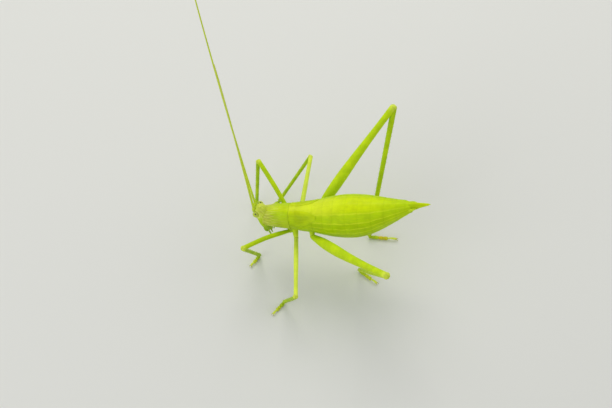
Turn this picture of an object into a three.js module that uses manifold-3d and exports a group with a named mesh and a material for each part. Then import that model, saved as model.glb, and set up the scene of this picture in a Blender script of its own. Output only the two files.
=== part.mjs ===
// A long-horned grasshopper (bush-cricket): a female leaf-katydid nymph of the last stages, life size.
// Millimetres, +Z up. The head points to -X, the left side is towards -Y, and the feet stand on Z = 0.
import * as THREE from "three";
import { mergeVertices } from "three/addons/utils/BufferGeometryUtils.js";
import Module from "manifold-3d";

const wasm = await Module();
wasm.setup();

// ---------------------------------------------------------------- driving dimensions

const SEAM = 0.1; // thin cut between neighbouring pieces

const BODY_TILT = THREE.MathUtils.degToRad(13.3); // the tail is carried higher than the head
const THORAX_HEIGHT = 8.5; // body axis over the floor, at the middle legs
const BODY_SIDES = 20;

const PRONOTUM_FRONT = -4.95; // places along the body axis, from the middle legs
const PRONOTUM_REAR = -1.1;
const MESOTHORAX_REAR = 1.0;
const METATHORAX_REAR = 3.1;
const ABDOMEN_CUTS = [7.3, 11.6];
const ABDOMEN_END = 16.1;
const OVIPOSITOR_TIP = 18.7;

const SADDLE_THICKNESS = 0.5; // pronotum shell over the prothorax
const PAD_THICKNESS = 0.5; // wing pads

// Hip joints: place along the body axis, out from the midline and down from the axis.
const HIPS = {
  front: { along: -1.6, out: 1.0, down: 2.15 },
  mid: { along: -0.8, out: 1.9, down: 2.65 },
  hind: { along: 1.6, out: 1.9, down: 2.3 },
};

const SOLE_RADIUS = 0.29; // foot thickness and the height of the ankle
const TARSUS_FLAT = 0.06; // how much of its round the sole loses to the flat

// Knee [x, y, z], ankle [x, y] and tip of the foot [x, y], for each leg of this stance.
const STANCE = {
  front_left: { knee: [-6.8, -6.6, 9.2], ankle: [-5.3, -2.3], toe: [-6.3, -4.1] },
  front_right: { knee: [-6.75, 7.1, 10.2], ankle: [-7.0, 6.1], toe: [-6.6, 4.1] },
  mid_left: { knee: [1.25, -12.1, 7.6], ankle: [-0.85, -9.2], toe: [-2.1, -11.2] },
  mid_right: { knee: [0.0, 11.7, 5.9], ankle: [-3.9, 6.9], toe: [-5.6, 5.4] },
  hind_left: { knee: [13.2, -12.4, 16.8], ankle: [8.8, -2.7], toe: [11.6, -4.45] },
  hind_right: { knee: [11.1, 14.3, 16.75], ankle: [9.5, 2.9], toe: [13.6, 3.1] },
};

// Radii of each leg piece from its inner to its outer end, and how far its thigh bows outward and up.
const LEG_RADII = {
  front: { femur: [0.27, 0.34, 0.35, 0.35, 0.35], tibia: [0.29, 0.27, 0.26, 0.26], bow: [0, 0.45] },
  mid: { femur: [0.32, 0.35, 0.34, 0.31, 0.32], tibia: [0.28, 0.27, 0.26, 0.26], bow: [0, 0] },
  hind: {
    femur: [0.42, 0.72, 0.76, 0.65, 0.54, 0.48, 0.48],
    tibia: [0.41, 0.37, 0.33, 0.28],
    bow: [0.2, -0.15],
  },
};

const ANTENNA_LENGTH = 52;
const ANTENNA_RADIUS = 0.27;

const HEAD_TURN = THREE.MathUtils.degToRad(12); // the face looks a little to its right

// ---------------------------------------------------------------- geometry helpers

const v3 = (x, y, z) => new THREE.Vector3(x, y, z);

// A closed skin over rings of points that all have the same count, with flat fans on both ends.
function loft(rings) {
  const sides = rings[0].length;
  const positions = rings.flat();
  const faces = [];
  for (let r = 0; r + 1 < rings.length; r++) {
    for (let s = 0; s < sides; s++) {
      const a = r * sides + s;
      const b = r * sides + ((s + 1) % sides);
      faces.push(a, b, b + sides, a, b + sides, a + sides);
    }
  }
  const last = (rings.length - 1) * sides;
  for (let s = 1; s + 1 < sides; s++) {
    faces.push(0, s + 1, s, last, last + s, last + s + 1);
  }
  const geometry = new THREE.BufferGeometry().setFromPoints(positions);
  geometry.setIndex(faces);
  return geometry;
}

// Ring of a superellipse: separate heights above and below its centre, power 2 is an ellipse.
function ring(centre, side, up, halfWidth, top, bottom, sides, power = 2) {
  const points = [];
  for (let s = 0; s < sides; s++) {
    const angle = (2 * Math.PI * (s + 0.5)) / sides;
    const c = Math.cos(angle);
    const n = Math.sin(angle);
    const wide = Math.sign(c) * Math.abs(c) ** (2 / power) * halfWidth;
    const high = Math.sign(n) * Math.abs(n) ** (2 / power) * (n > 0 ? top : bottom);
    points.push(centre.clone().addScaledVector(side, wide).addScaledVector(up, high));
  }
  return points;
}

// Smooth value in one column of a table whose rows are [place, value, value, ...].
function profile(table, place, column = 1) {
  const last = table.length - 1;
  const next = Math.min(Math.max(table.findIndex((row) => row[0] > place), 1), last);
  const at = place >= table[last][0] ? last : next;
  const t = THREE.MathUtils.clamp((place - table[at - 1][0]) / (table[at][0] - table[at - 1][0]), 0, 1);
  const [a, b] = [table[at - 1][column], table[at][column]];
  const before = at > 1 ? table[at - 2][column] : a;
  const after = at < last ? table[at + 1][column] : b;
  const bend = 2 * before - 5 * a + 4 * b - after;
  const twist = 3 * (a - b) + after - before;
  return a + 0.5 * t * (b - before + t * (bend + t * twist));
}

// The domed ends of a limb piece, as [share of the dome's length, share of the radius].
const DOME = [
  [0, 0.5],
  [0.3, 0.86],
];
const DOME_LENGTH = 0.7; // in end radii
const DOME_LIMIT = 0.3; // the largest share of a piece that one dome takes
const UPRIGHT = 0.92; // a run steeper than this has its section set by +X, not by +Z

// A limb piece: a rounded, tapering rod through points. Its radii are spaced evenly along it, a
// margin makes it larger all round, and what would reach below the floor is flat on it.
function limb(points, radii, { sides = 8, steps = 8, margin = 0, floor = -Infinity } = {}) {
  const curve = new THREE.CatmullRomCurve3(points);
  const table = radii.map((radius, i) => [i / (radii.length - 1), radius]);
  const run = points.at(-1).clone().sub(points[0]).normalize();
  const reference = Math.abs(run.z) > UPRIGHT ? v3(1, 0, 0) : v3(0, 0, 1);
  const length = curve.getLength();
  const [startDome, endDome] = [radii[0], radii.at(-1)].map((radius) =>
    Math.min((DOME_LENGTH * radius) / length, DOME_LIMIT),
  );
  const places = DOME.map(([share, scale]) => [share * startDome, scale]);
  for (let i = 0; i <= steps; i++) {
    places.push([startDome + ((1 - startDome - endDome) * i) / steps, 1]);
  }
  places.push(...DOME.map(([share, scale]) => [1 - share * endDome, scale]).reverse());
  const rings = places.map(([t, scale]) => {
    const ahead = curve.getTangentAt(t);
    const side = reference.clone().cross(ahead).normalize();
    const up = ahead.clone().cross(side);
    const radius = profile(table, t) * scale + margin;
    const centre = curve.getPointAt(t);
    if (t === 0 || t === 1) {
      centre.addScaledVector(ahead, t === 0 ? -margin : margin);
    }
    const section = ring(centre, side, up, radius, radius, radius, sides);
    section.forEach((point) => {
      point.z = Math.max(point.z, floor);
    });
    return section;
  });
  return loft(rings);
}

const WELD = 1e-4; // points closer than this are one

function solidOf(geometry) {
  const bare = geometry.clone();
  bare.deleteAttribute("normal");
  bare.deleteAttribute("uv");
  const merged = mergeVertices(bare, WELD);
  return new wasm.Manifold(
    new wasm.Mesh({
      numProp: 3,
      vertProperties: new Float32Array(merged.attributes.position.array),
      triVerts: new Uint32Array(merged.index.array),
    }),
  );
}

function geometryOf(solid) {
  const mesh = solid.getMesh();
  const geometry = new THREE.BufferGeometry();
  geometry.setAttribute("position", new THREE.BufferAttribute(mesh.vertProperties, 3));
  geometry.setIndex(new THREE.BufferAttribute(mesh.triVerts, 1));
  return geometry;
}

// ---------------------------------------------------------------- materials and the group

const animal = new THREE.Group();
const cuticle = (colour, roughness = 0.45) =>
  new THREE.MeshStandardMaterial({ color: colour, roughness, metalness: 0 });
const GREEN = "#a9c81f";
const LEAF_GREEN = "#8fb022";
const PALE_GREEN = "#dbe79a";
const ROSE_GREEN = "#c5cf86";
const EYE = "#c9cf6a";

// The main body of a solid, without the chips that a cut leaves beside it.
function mainBody(solid) {
  return solid.decompose().sort((a, b) => b.volume() - a.volume())[0];
}

function add(name, geometry, colour, roughness) {
  const mesh = new THREE.Mesh(geometry, cuticle(colour, roughness));
  mesh.name = name;
  animal.add(mesh);
}

// ---------------------------------------------------------------- trunk

// Body outline along its axis: [place, half width, top, bottom], heights from the axis.
const TRUNK = [
  [-5.2, 1.2, 1.55, 1.0],
  [-4.9, 1.32, 1.72, 1.15],
  [-3.4, 1.55, 1.88, 1.55],
  [-1.9, 1.7, 1.95, 1.8],
  [-1.0, 1.78, 1.95, 1.95],
  [0.5, 2.0, 1.98, 2.2],
  [2.1, 2.2, 2.1, 2.4],
  [3.4, 2.48, 2.38, 2.65],
  [4.8, 2.75, 2.68, 2.9],
  [6.7, 2.93, 2.93, 3.05],
  [8.3, 2.9, 2.98, 2.95],
  [10.2, 2.6, 2.95, 2.4],
  [12.3, 2.0, 2.9, 1.25],
  [14.0, 1.45, 2.9, 0.1],
  [15.3, 1.04, 2.94, -0.85],
  [16.1, 0.64, 2.88, -1.22],
];
const TRUNK_POWER = 2.1; // the section is a little squarer than an ellipse
const BODY_ALONG = v3(Math.cos(BODY_TILT), 0, Math.sin(BODY_TILT));
const BODY_UP = v3(-Math.sin(BODY_TILT), 0, Math.cos(BODY_TILT));
const ACROSS = v3(0, 1, 0);

function onBody(along, across, up) {
  return v3(0, 0, THORAX_HEIGHT)
    .addScaledVector(BODY_ALONG, along)
    .addScaledVector(ACROSS, across)
    .addScaledVector(BODY_UP, up);
}

// Ring of the trunk at a place along its axis, moved in or out by a margin.
function trunkRing(along, margin = 0) {
  const top = profile(TRUNK, along, 2);
  const bottom = profile(TRUNK, along, 3);
  const middle = (top - bottom) / 2;
  const half = (top + bottom) / 2 + margin;
  const wide = profile(TRUNK, along, 1) + margin;
  return ring(onBody(along, 0, middle), ACROSS, BODY_UP, wide, half, half, BODY_SIDES, TRUNK_POWER);
}

function trunkPiece(from, to, steps, margin = 0) {
  const rings = [];
  for (let i = 0; i <= steps; i++) {
    rings.push(trunkRing(from + ((to - from) * i) / steps, margin));
  }
  return loft(rings);
}

// Prothorax with the neck running forward into the head. With a margin it is the room that the
// neighbours leave for it, which also runs on past both of its ends.
const NECK_FRONT = -5.3;
const CORE_STEPS = 4;
const CORE_DEPTH = { front: 0.95, rear: 2.0 }; // its underside, below the axis

function prothoraxCore(margin) {
  const reach = 3 * margin;
  const rings = [];
  for (let i = 0; i <= CORE_STEPS; i++) {
    const t = i / CORE_STEPS;
    const along = THREE.MathUtils.lerp(NECK_FRONT - reach, PRONOTUM_REAR + reach, t);
    const wide = profile(TRUNK, along, 1) - SADDLE_THICKNESS + margin;
    const top = profile(TRUNK, along, 2) - SADDLE_THICKNESS + margin;
    const bottom = THREE.MathUtils.lerp(CORE_DEPTH.front, CORE_DEPTH.rear, t) + margin;
    const section = ring(onBody(along, 0, 0), ACROSS, BODY_UP, wide, top, bottom, BODY_SIDES, TRUNK_POWER);
    rings.push(section);
  }
  return loft(rings);
}

const SADDLE_LOBE = { front: 0.7, rear: 1.75 }; // how far the side lobes reach below the axis
const SADDLE_OVERRUN = 0.4; // the blank runs past the front edge, which is then cut upright
const CUTTER = 8; // side of a cutting block, wider than the body

// The trunk over the length of the saddle, moved out by a margin.
const saddleBlank = (margin) =>
  solidOf(trunkPiece(PRONOTUM_FRONT - SADDLE_OVERRUN, PRONOTUM_REAR, 4, margin));

// All that lies ahead of the upright front edge of the saddle, moved back by a margin.
function frontBox(margin) {
  const box = new THREE.BoxGeometry(CUTTER, CUTTER, CUTTER);
  box.translate(PRONOTUM_FRONT + margin - CUTTER / 2, 0, THORAX_HEIGHT);
  return solidOf(box);
}

// All that lies below the sloping lower edge of the saddle's side lobes.
function lobeBox() {
  const box = new THREE.BoxGeometry(CUTTER, CUTTER, CUTTER);
  const slope = Math.atan2(SADDLE_LOBE.rear - SADDLE_LOBE.front, PRONOTUM_REAR - PRONOTUM_FRONT);
  const down = (SADDLE_LOBE.front + SADDLE_LOBE.rear + CUTTER) / 2;
  const place = onBody((PRONOTUM_FRONT + PRONOTUM_REAR) / 2, 0, -down);
  box.rotateY(slope - BODY_TILT);
  box.translate(place.x, place.y, place.z);
  return solidOf(box);
}

function saddle() {
  const shell = saddleBlank(0).subtract(solidOf(prothoraxCore(SEAM)));
  return geometryOf(mainBody(shell.subtract(lobeBox()).subtract(frontBox(0))));
}
add("pronotum", saddle(), ROSE_GREEN, 0.5);
add("prothorax", prothoraxCore(0), GREEN);

// Wing pads: leaf-shaped flaps let into the back, each between two angles from the midline that
// close towards its tip. With a margin it is the recess that the thorax leaves for the pad.
// A pad stands proud of the back, and its recess runs on out of the back by clear margins.
const PAD = { from: -0.96, to: 2.88, steps: 6, arc: 6, proud: 0.1, clear: 4 };
const PAD_ANGLES = [
  [0.0, 10, 78],
  [0.35, 13, 74],
  [0.7, 20, 60],
  [1.0, 33, 44],
];

function wingPad(side, margin) {
  const rings = [];
  for (let i = 0; i <= PAD.steps; i++) {
    const t = i / PAD.steps;
    const along = THREE.MathUtils.lerp(PAD.from - margin, PAD.to + margin, t);
    const middle = (profile(TRUNK, along, 2) - profile(TRUNK, along, 3)) / 2;
    const high = (profile(TRUNK, along, 2) + profile(TRUNK, along, 3)) / 2;
    const wide = profile(TRUNK, along, 1);
    const spread = margin / wide;
    const inner = THREE.MathUtils.degToRad(profile(PAD_ANGLES, t, 1)) - spread;
    const outer = THREE.MathUtils.degToRad(profile(PAD_ANGLES, t, 2)) + spread;
    const arc = (depth) =>
      Array.from({ length: PAD.arc + 1 }, (_, j) => {
        const angle = THREE.MathUtils.lerp(inner, outer, j / PAD.arc);
        const across = side * (wide + depth) * Math.sin(angle);
        return onBody(along, across, middle + (high + depth) * Math.cos(angle));
      });
    const over = arc(PAD.proud + PAD.clear * margin);
    const under = arc(PAD.proud - PAD_THICKNESS - margin);
    const section = [...over, ...under.reverse()];
    rings.push(side > 0 ? section.reverse() : section);
  }
  return loft(rings);
}
add("wing_pad_left", wingPad(-1, 0), PALE_GREEN);
add("wing_pad_right", wingPad(1, 0), PALE_GREEN);

function thoraxRing(from, to) {
  const whole = solidOf(trunkPiece(from, to, 3));
  const recessed = [-1, 1].reduce((solid, side) => solid.subtract(solidOf(wingPad(side, SEAM))), whole);
  return geometryOf(mainBody(recessed));
}
add("mesothorax", thoraxRing(PRONOTUM_REAR + SEAM, MESOTHORAX_REAR), GREEN);
add("metathorax", thoraxRing(MESOTHORAX_REAR + SEAM, METATHORAX_REAR), GREEN);
add("abdomen_front", trunkPiece(METATHORAX_REAR + SEAM, ABDOMEN_CUTS[0], 4), GREEN);
add("abdomen_middle", trunkPiece(ABDOMEN_CUTS[0] + SEAM, ABDOMEN_CUTS[1], 4), GREEN);

// Cerci, the short tail feelers let into the last ring: [along, out, up, radius].
const CERCUS = [
  [15.7, 0.62, 2.2, 0.26],
  [16.25, 0.6, 2.32, 0.25],
  [16.8, 0.53, 2.44, 0.25],
];

function cercus(side, margin) {
  const points = CERCUS.map(([along, out, up]) => onBody(along, side * out, up));
  const radii = CERCUS.map((row) => row[3]);
  return limb(points, radii, { steps: 2, margin });
}

// What is left of a tail piece beside the cerci.
function besideCerci(geometry) {
  const cerci = [-1, 1].map((side) => solidOf(cercus(side, SEAM)));
  return geometryOf(mainBody(cerci.reduce((rest, one) => rest.subtract(one), solidOf(geometry))));
}
add("abdomen_rear", besideCerci(trunkPiece(ABDOMEN_CUTS[1] + SEAM, ABDOMEN_END, 4)), GREEN);

// Blade-shaped ovipositor, short, deep at the base and curved up to a point, as
// [share, half width, half depth, height over the axis].
const BLADE_STEPS = 7;
const BLADE_SIDES = 12;
const BLADE = [
  [0.0, 0.57, 0.88, 2.08],
  [0.15, 0.46, 0.84, 2.2],
  [0.4, 0.31, 0.66, 2.38],
  [0.6, 0.26, 0.44, 2.5],
  [0.85, 0.18, 0.22, 2.6],
  [1.0, 0.1, 0.1, 2.64],
];

function ovipositor() {
  const rings = [];
  for (let i = 0; i <= BLADE_STEPS; i++) {
    const t = i / BLADE_STEPS;
    const along = THREE.MathUtils.lerp(ABDOMEN_END + SEAM, OVIPOSITOR_TIP, t);
    const [wide, half, height] = [1, 2, 3].map((column) => profile(BLADE, t, column));
    rings.push(ring(onBody(along, 0, height), ACROSS, BODY_UP, wide, half, half, BLADE_SIDES));
  }
  return loft(rings);
}
add("ovipositor", besideCerci(ovipositor()), LEAF_GREEN);

add("cercus_left", cercus(-1, 0), LEAF_GREEN);
add("cercus_right", cercus(1, 0), LEAF_GREEN);

// ---------------------------------------------------------------- head

// Head capsule down its slanting axis: [share, half width, front, back] from the axis.
const HEAD = [
  [0.0, 0.35, 0.3, 0.38],
  [0.08, 0.7, 0.55, 0.62],
  [0.2, 0.95, 0.76, 0.78],
  [0.4, 1.1, 0.84, 0.86],
  [0.6, 1.12, 0.8, 0.84],
  [0.8, 1.03, 0.7, 0.84],
  [1.0, 0.82, 0.52, 0.68],
];
const HEAD_TOP = v3(-5.55, 0, 9.85);
const HEAD_HEIGHT = 4.35;
const HEAD_SLANT = 1.4; // the mouth lies this far behind the crown
const HEAD_ACROSS = v3(Math.sin(HEAD_TURN), Math.cos(HEAD_TURN), 0);
const HEAD_BACK = v3(Math.cos(HEAD_TURN), -Math.sin(HEAD_TURN), 0);
const HEAD_AXIS = HEAD_BACK.clone().multiplyScalar(HEAD_SLANT).setZ(-HEAD_HEIGHT);
const HEAD_LENGTH = HEAD_AXIS.length();
const HEAD_DOWN = HEAD_AXIS.clone().normalize();
const HEAD_FRONT = HEAD_ACROSS.clone().cross(HEAD_DOWN).normalize();

const onHead = (share, out, front) =>
  HEAD_TOP.clone()
    .addScaledVector(HEAD_DOWN, share * HEAD_LENGTH)
    .addScaledVector(HEAD_ACROSS, out)
    .addScaledVector(HEAD_FRONT, front);

const HEAD_STEPS = 9;
const HEAD_SIDES = 16;
const HEAD_POWER = 2.2;
const HEAD_INWARD = HEAD_ACROSS.clone().negate();

function headRing(share) {
  const [wide, front, back] = [1, 2, 3].map((column) => profile(HEAD, share, column));
  const centre = onHead(share, 0, 0);
  return ring(centre, HEAD_INWARD, HEAD_FRONT, wide, front, back, HEAD_SIDES, HEAD_POWER);
}

function headCapsule() {
  const rings = [];
  for (let i = 0; i <= HEAD_STEPS; i++) {
    rings.push(headRing(i / HEAD_STEPS));
  }
  return loft(rings);
}

const EYE_PLACE = { share: 0.19, out: 0.9, front: 0.4 };
const EYE_SIZE = [0.38, 0.44, 0.5]; // out, forward, along the face

function eyeball(side, margin) {
  const ball = new THREE.SphereGeometry(1, 10, 8);
  ball.rotateX(Math.PI / 2);
  ball.scale(EYE_SIZE[0] + margin, EYE_SIZE[1] + margin, EYE_SIZE[2] + margin);
  const forward = HEAD_DOWN.clone().cross(HEAD_ACROSS);
  ball.applyMatrix4(new THREE.Matrix4().makeBasis(HEAD_ACROSS, forward, HEAD_DOWN));
  const place = onHead(EYE_PLACE.share, side * EYE_PLACE.out, EYE_PLACE.front);
  ball.translate(place.x, place.y, place.z);
  return ball;
}

const headSolid = solidOf(headCapsule())
  .subtract(solidOf(eyeball(-1, SEAM)))
  .subtract(solidOf(eyeball(1, SEAM)))
  .subtract(solidOf(prothoraxCore(SEAM)))
  .subtract(saddleBlank(SEAM).subtract(frontBox(-SEAM)));
add("head", geometryOf(mainBody(headSolid)), GREEN);
add("eye_left", eyeball(-1, 0), EYE, 0.2);
add("eye_right", eyeball(1, 0), EYE, 0.2);

// Labrum and jaws as one wedge under the face, as [share down the head, half width, front, back].
const MOUTH_SIDES = 12;
const MOUTH = [
  [1.0 + SEAM / HEAD_LENGTH, 0.6, 0.4, 0.5],
  [1.09, 0.53, 0.37, 0.43],
  [1.16, 0.47, 0.35, 0.37],
  [1.22, 0.4, 0.32, 0.3],
];

function mouth() {
  const rings = MOUTH.map(([share, wide, front, back]) =>
    ring(onHead(share, 0, 0), HEAD_INWARD, HEAD_FRONT, wide, front, back, MOUTH_SIDES),
  );
  return loft(rings);
}
add("mouthparts", mouth(), LEAF_GREEN);

// Palps, the short feelers curling down beside the jaws: [share down the head, out, front, radius].
const PALP = [
  [1.0, 0.82, -0.38, 0.25],
  [1.1, 0.84, -0.42, 0.25],
  [1.19, 0.7, -0.3, 0.26],
];

function palp(side) {
  const points = PALP.map(([share, out, front]) => onHead(share, side * out, front));
  const radii = PALP.map((row) => row[3]);
  return limb(points, radii, { steps: 3 });
}
add("palp_left", palp(-1), PALE_GREEN);
add("palp_right", palp(1), PALE_GREEN);

// ---------------------------------------------------------------- antennae

// Each antenna leaves its root along the first heading and has bent to the second at its tip.
const ANTENNA_HEADINGS = {
  left: [v3(-0.098, -0.05, 0.994), v3(0.053, -0.42, 0.906)],
  right: [v3(-0.266, 0.28, 0.922), v3(-0.268, 0.48, 0.835)],
};
const ANTENNA_PLACE = { share: 0.15, out: 0.36, front: 0.82 };
const SCAPE_LENGTH = 0.75; // the thicker first segment
const SCAPE_RADIUS = 0.3;
const ANTENNA_SPLIT = 0.45; // share of its length where it is divided in two

function antennaPoint(side, share) {
  const [first, second] = ANTENNA_HEADINGS[side < 0 ? "left" : "right"];
  const mean = first.clone().lerp(second, share / 2);
  const root = onHead(ANTENNA_PLACE.share, side * ANTENNA_PLACE.out, ANTENNA_PLACE.front);
  return root.addScaledVector(mean, share * ANTENNA_LENGTH);
}

function antennaLength(side, from, to, radius, steps) {
  const points = [0, 0.25, 0.5, 0.75, 1].map((t) => antennaPoint(side, THREE.MathUtils.lerp(from, to, t)));
  return limb(points, [radius, ANTENNA_RADIUS], { sides: 6, steps });
}

const SIDES = { left: -1, right: 1 };

for (const [name, side] of Object.entries(SIDES)) {
  const scape = SCAPE_LENGTH / ANTENNA_LENGTH;
  const seam = SEAM / ANTENNA_LENGTH;
  const base = antennaLength(side, 0, scape, SCAPE_RADIUS, 2);
  const inner = antennaLength(side, scape + seam, ANTENNA_SPLIT, ANTENNA_RADIUS, 6);
  const outer = antennaLength(side, ANTENNA_SPLIT + seam, 1, ANTENNA_RADIUS, 8);
  add(`antenna_${name}_base`, base, GREEN);
  add(`antenna_${name}_inner`, inner, GREEN);
  add(`antenna_${name}_outer`, outer, GREEN);
}

// ---------------------------------------------------------------- legs

const ANKLE_RISE = 0.5; // the shin ends this far over the floor
const SOLE_CENTRE = SOLE_RADIUS - TARSUS_FLAT;
const COXA_RADII = [0.43, 0.35];
const COXA_DEPTH = 0.45; // share of the way from the body axis to the hip where a coxa starts
const THIGH_SIDES = { front: 8, mid: 8, hind: 10 };
const LEG_REACH_REAR = METATHORAX_REAR + 2; // the legs touch the trunk ahead of this

const trunkRoom = solidOf(trunkPiece(PRONOTUM_FRONT, LEG_REACH_REAR, 7, SEAM));
const coreRoom = solidOf(prothoraxCore(SEAM));

// What is left of a leg piece clear of other solids.
function cleared(solid, ...others) {
  return geometryOf(mainBody(others.reduce((rest, other) => rest.subtract(other), solid)));
}

function leg(pair, side, name) {
  const stance = STANCE[`${pair}_${name}`];
  const radii = LEG_RADII[pair];
  const { along, out, down } = HIPS[pair];
  const root = onBody(along, side * out * COXA_DEPTH, -down * COXA_DEPTH);
  const hip = onBody(along, side * out, -down);
  const knee = v3(...stance.knee);
  const ankle = v3(...stance.ankle, ANKLE_RISE);
  const heel = v3(...stance.ankle, SOLE_CENTRE);
  const toe = v3(...stance.toe, SOLE_CENTRE);
  const [outward, upward] = radii.bow;
  const run = knee.clone().sub(hip).setZ(0).normalize();
  const bow = hip.clone().lerp(knee, 0.5);
  bow.add(v3(-Math.abs(run.y) * outward, side * run.x * outward, upward));
  const thigh = { steps: 8, sides: THIGH_SIDES[pair] };
  const sole = [SOLE_RADIUS, SOLE_RADIUS];
  const coxa = (margin) => solidOf(limb([root, hip], COXA_RADII, { margin, steps: 2 }));
  const femur = (margin) => solidOf(limb([hip, bow, knee], radii.femur, { ...thigh, margin }));
  const tibia = solidOf(limb([knee, ankle], radii.tibia, { steps: 3 }));
  const tarsus = (margin) => solidOf(limb([heel, toe], sole, { margin, steps: 3, floor: 0 }));
  add(`${pair}_coxa_${name}`, cleared(coxa(0), trunkRoom, coreRoom), LEAF_GREEN);
  add(`${pair}_femur_${name}`, cleared(femur(0), coxa(SEAM), trunkRoom, coreRoom), GREEN);
  add(`${pair}_tibia_${name}`, cleared(tibia, femur(SEAM), tarsus(SEAM)), LEAF_GREEN);
  add(`${pair}_tarsus_${name}`, geometryOf(tarsus(0)), PALE_GREEN);
}

for (const pair of Object.keys(HIPS)) {
  for (const [name, side] of Object.entries(SIDES)) {
    leg(pair, side, name);
  }
}

// The frame's origin lies on the floor, under the middle of the animal's bounding box.
const extent = new THREE.Box3().setFromObject(animal);
const middle = extent.getCenter(v3(0, 0, 0));
animal.position.set(-middle.x, -middle.y, -extent.min.z);

export default animal;
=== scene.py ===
"""A long-horned grasshopper, a female leaf-katydid nymph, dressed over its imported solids.

Lengths here are millimetres in the animal's own frame: the midline is y = 0, the thorax is over
the origin and the floor is z = 0. Shell.build turns them into metres in the row's frame.
"""

import math

import bmesh
import bpy
import numpy as np
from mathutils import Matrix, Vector


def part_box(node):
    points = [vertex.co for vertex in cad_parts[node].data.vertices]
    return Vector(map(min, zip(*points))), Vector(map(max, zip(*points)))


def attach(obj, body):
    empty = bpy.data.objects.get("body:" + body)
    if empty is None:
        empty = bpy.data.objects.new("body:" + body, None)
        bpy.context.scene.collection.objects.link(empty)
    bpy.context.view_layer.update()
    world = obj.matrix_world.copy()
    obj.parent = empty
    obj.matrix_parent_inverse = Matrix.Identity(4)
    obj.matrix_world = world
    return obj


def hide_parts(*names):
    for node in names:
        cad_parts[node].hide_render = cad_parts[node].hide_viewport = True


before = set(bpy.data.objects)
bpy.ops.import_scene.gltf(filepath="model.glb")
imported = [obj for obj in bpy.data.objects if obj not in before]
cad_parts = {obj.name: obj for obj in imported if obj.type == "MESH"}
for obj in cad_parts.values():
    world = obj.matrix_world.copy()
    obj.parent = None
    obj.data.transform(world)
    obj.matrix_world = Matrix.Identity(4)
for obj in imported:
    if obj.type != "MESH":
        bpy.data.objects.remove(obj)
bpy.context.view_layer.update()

MM = 0.001
RNG = np.random.default_rng(7)

# ---------------------------------------------------------------- driving dimensions

BODY_TILT = math.radians(13.3)
THORAX_HEIGHT = 8.5
INSET = 0.03  # how far the skins lie inside the solids

PRONOTUM_FRONT = -4.95
PRONOTUM_REAR = -1.1
ABDOMEN_FRONT = 2.2
ABDOMEN_END = 16.1
OVIPOSITOR_TIP = 18.7

HIPS = {
    "front": (-1.6, 1.0, 2.15),
    "mid": (-0.8, 1.9, 2.65),
    "hind": (1.6, 1.9, 2.3),
}
SIDES = {"left": -1, "right": 1}

# Knee, ankle and toe of each leg.
STANCE = {
    "front_left": ((-6.8, -6.6, 9.2), (-5.3, -2.3), (-6.3, -4.1)),
    "front_right": ((-6.75, 7.1, 10.2), (-7.0, 6.1), (-6.6, 4.1)),
    "mid_left": ((1.25, -12.1, 7.6), (-0.85, -9.2), (-2.1, -11.2)),
    "mid_right": ((0.0, 11.7, 5.9), (-3.9, 6.9), (-5.6, 5.4)),
    "hind_left": ((13.2, -12.4, 16.8), (8.8, -2.7), (11.6, -4.45)),
    "hind_right": ((11.1, 14.3, 16.75), (9.5, 2.9), (13.6, 3.1)),
}
FEMUR_RADII = {
    "front": (0.27, 0.34, 0.35, 0.35, 0.35),
    "mid": (0.32, 0.35, 0.34, 0.31, 0.32),
    "hind": (0.42, 0.72, 0.76, 0.65, 0.54, 0.48, 0.48),
}
TIBIA_RADII = {
    "front": (0.29, 0.27, 0.26, 0.26),
    "mid": (0.28, 0.27, 0.26, 0.26),
    "hind": (0.41, 0.37, 0.33, 0.28),
}
FEMUR_BOW = {"front": (0.0, 0.45), "mid": (0.0, 0.0), "hind": (0.2, -0.15)}  # outward and up
ANKLE_RISE = 0.5
SOLE_RISE = 0.23

HEAD_TURN = math.radians(12)
HEAD_TOP = np.array((-5.55, 0.0, 9.85))
HEAD_HEIGHT = 4.35
HEAD_SLANT = 1.4
EYE_PLACE = (0.19, 0.9, 0.4)
EYE_SIZE = (0.38, 0.44, 0.5)
ANTENNA_PLACE = (0.15, 0.36, 0.82)
ANTENNA_LENGTH = 52
ANTENNA_HEADINGS = {
    "left": ((-0.098, -0.05, 0.994), (0.053, -0.42, 0.906)),
    "right": ((-0.266, 0.28, 0.922), (-0.268, 0.48, 0.835)),
}

# Trunk: place along the body, half width, top and bottom from its axis.
TRUNK = [
    (-5.2, 1.2, 1.55, 1.0),
    (-4.9, 1.32, 1.72, 1.15),
    (-3.4, 1.55, 1.88, 1.55),
    (-1.9, 1.7, 1.95, 1.8),
    (-1.0, 1.78, 1.95, 1.95),
    (0.5, 2.0, 1.98, 2.2),
    (2.1, 2.2, 2.1, 2.4),
    (3.4, 2.48, 2.38, 2.65),
    (4.8, 2.75, 2.68, 2.9),
    (6.7, 2.93, 2.93, 3.05),
    (8.3, 2.9, 2.98, 2.95),
    (10.2, 2.6, 2.95, 2.4),
    (12.3, 2.0, 2.9, 1.25),
    (14.0, 1.45, 2.9, 0.1),
    (15.3, 1.04, 2.94, -0.85),
    (16.1, 0.64, 2.88, -1.22),
]
TRUNK_POWER = 2.1
TERGITES = (2.2, 3.75, 5.2, 7.0, 8.75, 10.55, 12.3, 14.0, 15.25)

# Head: share down its slanting axis, half width, front and back from the axis.
HEAD = [
    (0.0, 0.35, 0.3, 0.38),
    (0.08, 0.7, 0.55, 0.62),
    (0.2, 0.95, 0.76, 0.78),
    (0.4, 1.1, 0.84, 0.86),
    (0.6, 1.12, 0.8, 0.84),
    (0.8, 1.03, 0.7, 0.84),
    (1.0, 0.82, 0.52, 0.68),
]
HEAD_POWER = 2.2

# ---------------------------------------------------------------- numbers and curves


def unit(vector):
    """The vector, or each row of vectors, at length one."""
    vector = np.asarray(vector, float)
    return vector / np.maximum(np.linalg.norm(vector, axis=-1, keepdims=True), 1e-12)


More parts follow.
